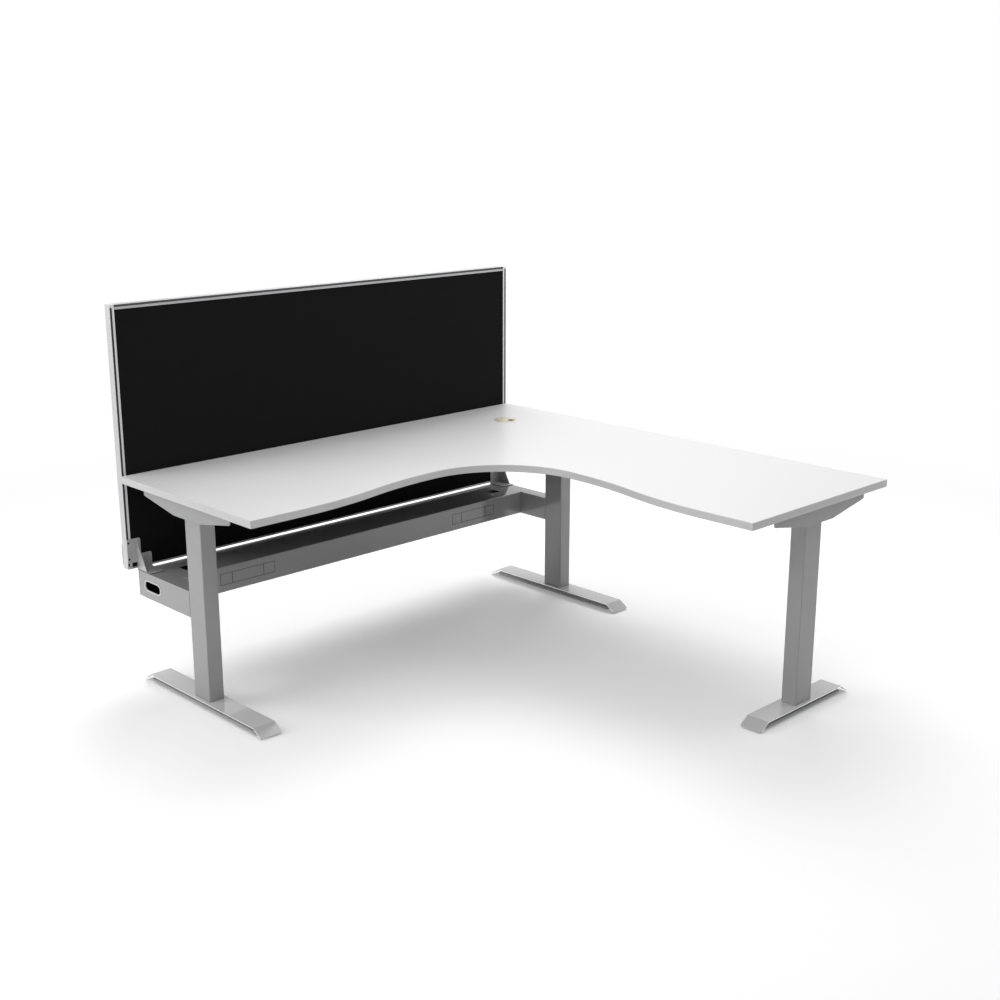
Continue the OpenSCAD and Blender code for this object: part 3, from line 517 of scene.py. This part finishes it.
def makeFloor(look):
    half = look["size"] / 2
    mesh = bpy.data.meshes.new("studioFloor")
    corners = [(-half, -half, 0), (half, -half, 0), (half, half, 0), (-half, half, 0)]
    mesh.from_pydata(corners, [], [(0, 1, 2, 3)])
    floor = bpy.data.objects.new("studioFloor", mesh)
    scene.collection.objects.link(floor)
    material = bpy.data.materials.new("paleFloor")
    material.use_nodes = True
    tree = material.node_tree
    tree.nodes.clear()
    out = addNode(tree, 'ShaderNodeOutputMaterial', (900, 0))
    dull = addNode(tree, 'ShaderNodeBsdfDiffuse', (0, 300))  # what lights the object from below
    dull.inputs['Color'].default_value = (look["bounce"], look["bounce"], look["bounce"], 1)
    pale = addNode(tree, 'ShaderNodeBsdfDiffuse', (0, 100))  # what the camera sees near the object
    pale.inputs['Color'].default_value = (look["colour"], look["colour"], look["colour"], 1)
    lift = addNode(tree, 'ShaderNodeEmission', (0, -50))
    lift.inputs['Strength'].default_value = look["lift"]
    lit = addNode(tree, 'ShaderNodeAddShader', (200, 50))
    wire(tree, pale, 'BSDF', lit, 0)
    wire(tree, lift, 'Emission', lit, 1)
    white = addNode(tree, 'ShaderNodeEmission', (200, -150))  # further out the floor turns white
    place = addNode(tree, 'ShaderNodeTexCoord', (-600, -200))
    length = addNode(tree, 'ShaderNodeVectorMath', (-400, -200), operation='LENGTH')
    wire(tree, place, 'Object', length, 0)
    fade = addNode(tree, 'ShaderNodeMapRange', (-200, -200), interpolation_type='SMOOTHSTEP')
    wire(tree, length, 'Value', fade, 'Value')
    fade.inputs['From Min'].default_value = look["fadeFrom"]
    fade.inputs['From Max'].default_value = look["fadeTo"]
    far = addNode(tree, 'ShaderNodeMixShader', (400, 0))
    wire(tree, fade, 'Result', far, 'Fac')
    wire(tree, lit, 'Shader', far, 1)
    wire(tree, white, 'Emission', far, 2)
    both = addNode(tree, 'ShaderNodeMixShader', (650, 100))
    tree.links.new(seenDirectly(tree), both.inputs['Fac'])
    wire(tree, dull, 'BSDF', both, 1)
    wire(tree, far, 'Shader', both, 2)
    wire(tree, both, 'Shader', out, 'Surface')
    mesh.materials.append(material)


worldLook = {"ambient": 0.0}


def makeWorld(look):
    world = bpy.data.worlds.new("studioWorld")
    world.use_nodes = True
    tree = world.node_tree
    tree.nodes.clear()
    out = addNode(tree, 'ShaderNodeOutputWorld', (600, 0))
    soft = addNode(tree, 'ShaderNodeBackground', (0, 0))
    soft.inputs['Color'].default_value = (1, 1, 1, 1)
    soft.inputs['Strength'].default_value = look["ambient"]
    white = addNode(tree, 'ShaderNodeBackground', (0, -200))
    white.inputs['Color'].default_value = (1, 1, 1, 1)
    mix = addNode(tree, 'ShaderNodeMixShader', (300, 0))
    tree.links.new(seenDirectly(tree), mix.inputs['Fac'])
    wire(tree, soft, 'Background', mix, 1)
    wire(tree, white, 'Background', mix, 2)
    wire(tree, mix, 'Shader', out, 'Surface')
    scene.world = world


# Each lamp is a soft square: compass is degrees from the screen's side (+Y) towards the corner (+X)
lampLooks = {
    "rearLamp": {"compass": 0, "height": 52, "size": 3.5, "power": 15.0},
    "rearRightLamp": {"compass": 45, "height": 52, "size": 3.5, "power": 136.0},
    "frontRightLamp": {"compass": 135, "height": 52, "size": 3.5, "power": 34.0},
    "frontLamp": {"compass": 180, "height": 52, "size": 3.5, "power": 8.0},
    "frontLeftLamp": {"compass": 225, "height": 52, "size": 3.5, "power": 29.0},
    "leftLamp": {"compass": 270, "height": 52, "size": 3.5, "power": 36.0},
    "lowRightLamp": {"compass": 120, "height": 22, "size": 3.0, "power": 22.0},
    "lowLeftLamp": {"compass": 300, "height": 22, "size": 3.0, "power": 80.0},
    "overheadLamp": {"compass": 0, "height": 90, "size": 4.0, "power": 46.0},
}
lampTarget = {"aim": (0.0, 0.0, 0.4), "distance": 5.0}


def makeLamp(name, look, target):
    data = bpy.data.lights.new(name, 'AREA')
    data.shape = 'SQUARE'
    data.size = look["size"]
    data.energy = look["power"]
    lamp = bpy.data.objects.new(name, data)
    turn, height = math.radians(look["compass"]), math.radians(look["height"])
    away = Vector((math.sin(turn) * math.cos(height), math.cos(turn) * math.cos(height),
                   math.sin(height)))
    lamp.location = Vector(target["aim"]) + away * target["distance"]
    lamp.rotation_euler = (-away).to_track_quat('-Z', 'Y').to_euler()
    lamp.visible_camera = False
    scene.collection.objects.link(lamp)


setCamera(cameraView)
makeFloor(floorLook)
makeWorld(worldLook)
for lampName, lampLook in lampLooks.items():
    makeLamp(lampName, lampLook, lampTarget)
print("camera, floor and light made")


# Worktop: a melamine-faced board with a grey foil beneath it, darkened as painted shade under the
# desk, and a plastic band round its edge

worktopLook = {
    "face": {"colour": (0.79, 0.79, 0.79), "rough": 0.36, "bumps": 1400.0, "cloud": 3.0,
             "drift": 0.012, "speck": 0.3, "gloss": 0.10, "bump": 0.10, "depth": 0.00008},
    # A backing foil whose darkness is painted shade for what lies under the desk
    "foil": {"colour": (0.22, 0.22, 0.22), "rough": 0.6, "bumps": 800.0, "cloud": 5.0,
             "drift": 0.04, "speck": 0.3, "gloss": 0.08, "bump": 0.1, "depth": 0.0001},
    "band": {"colour": (0.725, 0.725, 0.725), "rough": 0.2, "bumps": 900.0, "cloud": 9.0,
             "drift": 0.015, "speck": 0.2, "gloss": 0.12, "bump": 0.05, "depth": 0.00005},
    "chips": {"colour": (0.42, 0.31, 0.20), "rough": 0.8, "bumps": 600.0, "cloud": 40.0,
              "drift": 0.2, "speck": 0.7, "gloss": 0.1, "bump": 0.4, "depth": 0.0003},
    "boardEdge": 0.00025, "boardSteps": 1, "bandEdge": 0.0016, "bandSteps": 3,
}
pressedChips = grainMaterial("pressedChips", worktopLook["chips"])


def outerWall(bm):
    # The upright faces that hang together with the one furthest left
    walls = {face for face in bm.faces if isWall(face.normal)}
    queue = [min(walls, key=lambda face: face.calc_center_median().x)]
    found = set(queue)
    while queue:
        for edge in queue.pop().edges:
            for face in edge.link_faces:
                if face in walls and face not in found:
                    found.add(face)
                    queue.append(face)
    return found


def makeWorktop(look):
    melamine = grainMaterial("whiteMelamine", look["face"])
    foil = grainMaterial("backingFoil", look["foil"])
    board = remake("worktop", melamine, "board", look["boardEdge"], look["boardSteps"])
    board.name = "worktopBoard"
    # The underside takes the foil, darkened as painted shade
    repaint(board, lambda centre, normal: facesDown(normal), foil)
    repaint(board, lambda centre, normal: isWall(normal), pressedChips)
    bm = cleanMesh("worktop_edge_band")
    wall = outerWall(bm)

    def onOuterWall(edge):
        return any(face in wall for face in edge.link_faces)
    bm = roundEdges(bm, look["bandEdge"], look["bandSteps"], onOuterWall)
    band = meshObject("worktopEdgeBand", bm, grainMaterial("whiteEdging", look["band"]))
    settle(band, "workstation", "edge", "worktop_edge_band")


makeWorktop(worktopLook)
print("worktop made")


# Cable grommet: a satin rim and turning cap over an inner tube, with black painted shade in the
# tube and the notch

grommetLook = {
    "rim": {"colour": (0.74, 0.68, 0.555), "rough": 0.3, "metal": 0.2, "rings": 1500.0,
            "drift": 0.06, "gloss": 0.2, "bump": 0.35, "depth": 0.00012},
    "tube": {"colour": (0.022, 0.022, 0.023), "rough": 0.45, "bumps": 1200.0, "cloud": 20.0,
             "drift": 0.15, "speck": 0.3, "gloss": 0.15, "bump": 0.15, "depth": 0.0001},
    "edge": 0.0005, "steps": 3, "rimWidth": 0.006, "rimDepth": 0.0045, "level": 0.98,
}
# Black nylon for the glide pads, and painted shade in the grommet's notch and tube
blackNylon = grainMaterial("blackNylon", grommetLook["tube"])


def makeGrommet(look):
    low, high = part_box("grommet_liner")
    middle = (low + high) / 2
    champagne = linedMaterial("champagneRim", look["rim"], turnedGroup,
                              Middle=(middle.x, middle.y, 0.0),
                              Rings_per_Metre=look["rim"]["rings"])

    def inTube(centre, normal):
        # The walls of the notch and the tube, and all that lies under the flange: black, as painted
        # shade in the hole
        across = math.hypot(centre.x - middle.x, centre.y - middle.y)
        wall = abs(normal.z) < look["level"] and across < (high.x - low.x) / 2 - look["rimWidth"]
        return wall or centre.z < high.z - look["rimDepth"]
    # The liner's rim is round in the CAD mesh, so only the cap's edges are broken
    liner = meshObject("grommetLiner", cleanMesh("grommet_liner"), champagne)
    repaint(settle(liner, "workstation", "grommet", "grommet_liner"), inTube, blackNylon)
    cap = remake("grommet_cap", champagne, "grommet", look["edge"], look["steps"])
    repaint(cap, inTube, blackNylon)


makeGrommet(grommetLook)
print("grommet made")


# Legs: folded top bracket, square tube, foot beam under a bent cover, and levelling glides

coatGrain = {"bumps": 1100.0, "cloud": 7.0, "speck": 0.6, "gloss": 0.12}
legLook = {
    "coat": coatGrain | {"colour": (0.40, 0.40, 0.405), "rough": 0.09, "ior": 1.65, "drift": 0.05,
                         "bump": 0.05, "depth": 0.00006},
    # Painted light: the covers' coat is a lighter copy of the columns' silver coat, for the light
    # their tops catch
    "cover": coatGrain | {"colour": (0.70, 0.70, 0.705), "rough": 0.07, "ior": 1.65, "drift": 0.04,
                          "bump": 0.03, "depth": 0.00005},
    # Painted highlight: the bright metallic finish for the foot covers' cut edges
    "cutEdge": {"colour": (0.93, 0.93, 0.93), "rough": 0.16, "metal": 0.9, "bumps": 1100.0,
                "cloud": 9.0, "drift": 0.04, "speck": 0.5, "gloss": 0.1, "bump": 0.05,
                "depth": 0.00006},
    # Painted light: the beam's coat is a lighter copy of the same silver coat, its tone set to how
    # light falls under the cover
    "beam": coatGrain | {"colour": (0.46, 0.46, 0.465), "rough": 0.2, "drift": 0.05, "bump": 0.08,
                         "depth": 0.00008},
    "tubeEdge": 0.0003, "bracketEdge": 0.0007, "coverEdge": 0.0012, "beamEdge": 0.0005, "steps": 2,
    "sheet": 0.003, "bottomReach": 0.165, "flangeDepth": 0.008, "sideways": 0.15,
}
glideLook = {
    "stud": {"colour": (0.55, 0.56, 0.58), "rough": 0.34, "metal": 0.95, "bumps": 1500.0,
             "cloud": 60.0, "drift": 0.08, "speck": 0.5, "gloss": 0.2, "bump": 0.08,
             "depth": 0.00004},
    "edge": 0.0005, "steps": 2, "studRadius": 0.0052, "padHeight": 0.006,
}
silverCoat = grainMaterial("silverPowderCoat", legLook["coat"])
# Painted light: a lighter copy of the silver coat for the foot covers
litCoverCoat = grainMaterial("silverCoverCoat", legLook["cover"])
# Painted highlight on the foot covers' cut edges
cutEdge = grainMaterial("coatOnCutEdges", legLook["cutEdge"])
# Painted light: a lighter copy of the silver coat for the foot beams
litBeamCoat = grainMaterial("silverBeamCoat", legLook["beam"])
zincPlate = grainMaterial("zincPlate", glideLook["stud"])


def makeBracket(node, look):
    # The bottom plate stops short of the tips, where the bracket is open below
    bm = cleanMesh(node)
    low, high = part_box(node)
    middle = (low + high) / 2
    along = 0 if high.x - low.x > high.y - low.y else 1
    for end in (-1, 1):
        start, stop = low.copy(), high.copy()
        start[1 - along] += look["sheet"]
        stop[1 - along] -= look["sheet"]
        start.z -= look["sheet"]
        stop.z -= look["flangeDepth"]
        near = middle[along] + end * look["bottomReach"]
        far = middle[along] + end * (high[along] - low[along])
        start[along], stop[along] = min(near, far), max(near, far)
        cutAway(bm, start, stop)
    bm = roundEdges(bm, look["bracketEdge"], look["steps"])
    settle(meshObject(camelName(node), bm, silverCoat), bodyOf(node), "coat", node)


def makeFootCover(node, look):
    # Painted highlight: a bright metallic finish along the sheet's cut edges, for the light their
    # rounding catches
    piece = remake(node, litCoverCoat, "coat", look["coverEdge"], look["steps"])
    low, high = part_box(node)
    across = 0 if high.x - low.x < high.y - low.y else 1

    def onHighlightedCutEdge(centre, normal):
        outside = min(centre[across] - low[across], high[across] - centre[across])
        return outside < look["coverEdge"] and abs(normal[across]) > look["sideways"]
    repaint(piece, onHighlightedCutEdge, cutEdge)


def makeLeg(side, look):
    remake(f"{side}_column", silverCoat, "coat", look["tubeEdge"], look["steps"])
    makeBracket(f"{side}_top_bracket", look)
    makeFootCover(f"{side}_foot_cover", look)
    remake(f"{side}_foot_beam", litBeamCoat, "coat", look["beamEdge"], look["steps"])


def makeGlide(node, look):
    piece = remake(node, blackNylon, "glide", look["edge"], look["steps"])
    low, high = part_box(node)
    axis = (low + high) / 2

    def onStud(centre, normal):
        across = math.hypot(centre.x - axis.x, centre.y - axis.y)
        return across < look["studRadius"] and centre.z > low.z + look["padHeight"]
    repaint(piece, onStud, zincPlate)


for side in ("left", "corner", "right"):
    makeLeg(side, legLook)
for node in sorted(nodes):
    if node.endswith("_glide"):
        makeGlide(node, glideLook)
print("legs made")


# Cable duct: folded sheet between two arms, with painted shade inside and round the outlet blanks,
# and pale rims round the oval ports

ductLook = {
    # Painted shade for the duct's inside and the edges round its outlet blanks
    "inside": {"colour": (0.05, 0.05, 0.052), "rough": 0.55, "bumps": 700.0, "cloud": 12.0,
               "drift": 0.12, "speck": 0.5, "gloss": 0.15, "bump": 0.12, "depth": 0.0001},
    "trim": {"colour": (0.86, 0.86, 0.86), "rough": 0.35, "bumps": 900.0, "cloud": 20.0,
             "drift": 0.02, "speck": 0.3, "gloss": 0.1, "bump": 0.08, "depth": 0.00005},
    "edge": 0.0006, "steps": 2, "skin": 0.0012, "trimEdge": 0.0003, "bottomSteps": 1,
    "blankEdge": 0.0005, "blankSteps": 1, "blankBack": 0.005, "blankSkin": 0.0003,
    "lineWidth": 0.0013, "forward": 0.97,
}


def insideOf(node, skin):
    # Tells whether a face looks into the sheet box from further in than its skin, so that it takes
    # painted shade
    low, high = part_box(node)
    middle = (low + high) / 2

    def test(centre, normal):
        deep = all(low[k] + skin < centre[k] < high[k] - skin for k in range(3))
        return deep and (middle - centre).dot(normal) > 0
    return test


def roundOpening(node, look):
    # Tells whether a face lies in the edge of the opening that an outlet blank fills, where painted
    # shade widens the dark line
    low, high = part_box(node)
    border = look["blankBack"] - look["lineWidth"]

    def test(centre, normal):
        within = all(low[k] + border < centre[k] < high[k] - border for k in (0, 2))
        return within and centre.y < high.y and normal.y > -look["forward"]
    return test


def makeBlank(node, paintedShade, look):
    # Painted shade: only its front face is coated and the rest is dark, so that dark lines part its
    # three fields
    blank = remake(node, silverCoat, "coat", look["blankEdge"], look["blankSteps"])
    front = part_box(node)[0].y

    def offFront(centre, normal):
        return normal.y > -look["forward"] or centre.y > front + look["blankSkin"]
    repaint(blank, offFront, paintedShade)


def makeDuct(look):
    paintedShade = grainMaterial("primedInside", look["inside"])
    pale = grainMaterial("paleTrim", look["trim"])
    for node in ("duct_channel", "left_duct_arm", "corner_duct_arm"):
        piece = remake(node, silverCoat, "coat", look["edge"], look["steps"])
        repaint(piece, insideOf(node, look["skin"]), paintedShade)
        if node == "duct_channel":
            for side in ("left", "right"):
                repaint(piece, roundOpening(f"{side}_outlet_blank", look), paintedShade)
    bottom = remake("duct_bottom_cover", silverCoat, "coat", look["edge"], look["bottomSteps"])
    # The bottom cover's upward face, inside the duct, takes painted shade
    repaint(bottom, lambda centre, normal: facesUp(normal), paintedShade)
    for side in ("left", "right"):
        makeBlank(f"{side}_outlet_blank", paintedShade, look)
    for side in ("left", "corner"):
        remake(f"{side}_port_trim", pale, "trim", look["trimEdge"], look["steps"])


makeDuct(ductLook)
print("duct made")


# Screen: an anodised frame with painted shade in the slot round it, on two brackets, with black
# cloth in it

screenLook = {
    "anodised": {"colour": (0.60, 0.60, 0.61), "rough": 0.33, "metal": 0.75, "drift": 0.04,
                 "gloss": 0.15, "bump": 0.08, "depth": 0.00004},
    # Painted shade: a darker copy of the anodised finish for the faces inside the slots
    "lining": {"colour": (0.15, 0.15, 0.155), "rough": 0.45, "metal": 0.3, "drift": 0.08,
               "gloss": 0.15, "bump": 0.08, "depth": 0.00004},
    # Painted light: the screen brackets' coat is a lighter copy of the legs' silver coat
    "coat": coatGrain | {"colour": (0.54, 0.54, 0.545), "rough": 0.16, "ior": 1.6, "drift": 0.05,
                         "bump": 0.05, "depth": 0.00006},
    "seam": {"colour": (0.05, 0.05, 0.052), "rough": 0.5, "bumps": 900.0, "cloud": 20.0,
             "drift": 0.1, "speck": 0.5, "gloss": 0.1, "bump": 0.1, "depth": 0.0001},
    # Painted shade: the rails take a darker copy of the stiles' anodised finish
    "railColour": (0.40, 0.40, 0.41),
    "uprightLines": (1600.0, 1600.0, 5.0), "levelLines": (5.0, 1600.0, 1600.0),
    "frameEdge": 0.0003, "frameSteps": 1, "plateEdge": 0.0006, "plateSteps": 2, "plate": 0.003,
    "boardEdge": 0.0003, "boardSteps": 1, "seamStop": 0.006,
    "slot": {"wall": 0.0011, "mouth": 0.0086, "lip": 0.0004, "depth": 0.0072},
}
clothLook = {
    "weave": {"colour": (0.0075, 0.0075, 0.008), "deep": (0.0026, 0.0026, 0.003), "rough": 0.9,
              "threads": 620.0, "sheen": 0.02, "sheenRough": 0.4, "specular": 0.14, "bump": 0.5,
              "depth": 0.0003},
    "turn": 0.0026, "turnLines": (0.0, 0.2, 0.45, 0.7, 1.0), "roll": 0.0009, "ripple": 0.00015,
    "rippleSize": 0.22, "columns": 90, "rows": 46,
}


def inSlot(edgeAxis, edges, front, back, slot):
    # Tells whether a face is inside the slots of the frame's front and rear, which take painted
    # shade
    def test(centre, normal):
        fromEdge = min(abs(centre[edgeAxis] - edge) for edge in edges)
        fromFace = min(centre.y - front, back - centre.y)
        return slot["wall"] < fromEdge < slot["mouth"] and slot["lip"] < fromFace < slot["depth"]
    return test


def makeFrame(look):
    # The rails' finish is the anodised one made darker, as painted shade
    shadedRailLook = look["anodised"] | {"colour": look["railColour"]}

    def drawn(name, finish, lines):
        return linedMaterial(name, finish, drawnGroup, Lines_per_Metre=look[lines])
    upright = drawn("anodisedUpright", look["anodised"], "uprightLines")
    level = drawn("anodisedRail", shadedRailLook, "levelLines")
    slotShadeUpright = drawn("slotLiningUpright", look["lining"], "uprightLines")
    slotShadeLevel = drawn("slotLiningRail", look["lining"], "levelLines")
    low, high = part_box("screen_left_stile")
    left, front, back = low.x, low.y, high.y
    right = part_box("screen_right_stile")[1].x
    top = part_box("screen_top_rail")[1].z

    def profile(node, material):
        return remake(node, material, "profile", look["frameEdge"], look["frameSteps"])
    stileSlot = inSlot(0, (left, right), front, back, look["slot"])
    railSlot = inSlot(2, (top,), front, back, look["slot"])
    for node in ("screen_left_stile", "screen_right_stile"):
        repaint(profile(node, upright), stileSlot, slotShadeUpright)
    repaint(profile("screen_top_rail", level), railSlot, slotShadeLevel)
    profile("screen_bottom_rail", level)
    profile("screen_corner_blocks", upright)
    for node in ("left_clamp_plate", "right_clamp_plate"):
        remake(node, silverCoat, "coat", look["plateEdge"], look["plateSteps"])


def makeScreenBracket(node, coat, seam, look):
    # Painted shade: a dark strip shows round the base plate, where it lies on the duct
    bm = cleanMesh(node)
    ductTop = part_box("duct_channel")[1].z
    everything = bm.verts[:] + bm.edges[:] + bm.faces[:]
    bmesh.ops.bisect_plane(bm, geom=everything, plane_co=(0, 0, ductTop + look["plate"]),
                           plane_no=(0, 0, 1))
    bm = roundEdges(bm, look["plateEdge"], look["plateSteps"])
    piece = settle(meshObject(camelName(node), bm, coat), bodyOf(node), "coat", node)
    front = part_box("screen_left_stile")[0].y
    plateTop = ductTop + look["plate"] - look["plateEdge"]

    def onSeam(centre, normal):
        onBase = ductTop < centre.z < plateTop and centre.y < front - look["seamStop"]
        return onBase and isWall(normal)
    repaint(piece, onSeam, seam)


def gridLines(length, look, count):
    # Close lines where the cloth turns back at its border, even ones between
    turn = look["turn"]
    border = [turn * share for share in look["turnLines"]]
    middle = [turn + (length - 2 * turn) * step / count for step in range(1, count)]
    return border + middle + [length - value for value in reversed(border)]


def stretchCloth(node, outward, material, look):
    # Cloth drawn tight over the board, nearly flat, and turned back under the frame's lip
    low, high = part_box(node)
    width, height = high.x - low.x, high.z - low.z
    face = high.y if outward > 0 else low.y
    bm = bmesh.new()
    rows = []
    for z in gridLines(height, look, look["rows"]):
        row = []
        for x in gridLines(width, look, look["columns"]):
            fromBorder = min(x, width - x, z, height - z)
            bend = max(0.0, 1 - fromBorder / look["turn"])
            drop = look["roll"] * (1 - math.sqrt(1 - bend * bend))
            ripple = noise.noise(Vector((x, outward, z)) / look["rippleSize"]) * look["ripple"]
            wave = ripple * (1 - bend)
            y = face - outward * (drop + look["ripple"] - wave)
            row.append(bm.verts.new((low.x + x, y, low.z + z)))
        rows.append(row)
    for below, above in zip(rows, rows[1:]):
        for index in range(len(below) - 1):
            corners = [below[index], below[index + 1], above[index + 1], above[index]]
            bm.faces.new(corners if outward < 0 else corners[::-1])
    area = sum(cell.calc_area() for cell in bm.faces)
    piece = settle(meshObject(camelName(node), bm, material), "workstation", "fabric", node)


makeFrame(screenLook)
# Painted light: a lighter copy of the silver coat for the screen brackets
litPlateCoat = grainMaterial("silverPlateCoat", screenLook["coat"])
seamShade = grainMaterial("seamShade", screenLook["seam"])
for side in ("left", "right"):
    makeScreenBracket(f"{side}_screen_bracket", litPlateCoat, seamShade, screenLook)
blackCloth = clothMaterial("blackWovenCloth", clothLook["weave"])
stretchCloth("screen_front_fabric", -1, blackCloth, clothLook)
stretchCloth("screen_rear_fabric", 1, blackCloth, clothLook)
remake("screen_board", pressedChips, "core", screenLook["boardEdge"], screenLook["boardSteps"])
print("screen made")


# Screws, bolts and nuts: zinc plated, and black for the screws in the screen's slots

hardwareLook = {
    "black": {"colour": (0.035, 0.035, 0.037), "rough": 0.32, "metal": 0.8, "bumps": 1500.0,
              "cloud": 60.0, "drift": 0.15, "speck": 0.5, "gloss": 0.2, "bump": 0.08,
              "depth": 0.00004},
    "edge": 0.00015, "steps": 1,
}


def makeHardware(look):
    blackZinc = grainMaterial("blackZinc", look["black"])
    for node in sorted(nodes):
        if node.endswith(("_screws", "_bolts", "_nuts")):
            finish = blackZinc if node == "screen_slot_screws" else zincPlate
            remake(node, finish, "zinc", look["edge"], look["steps"])


makeHardware(hardwareLook)
print("hardware made")
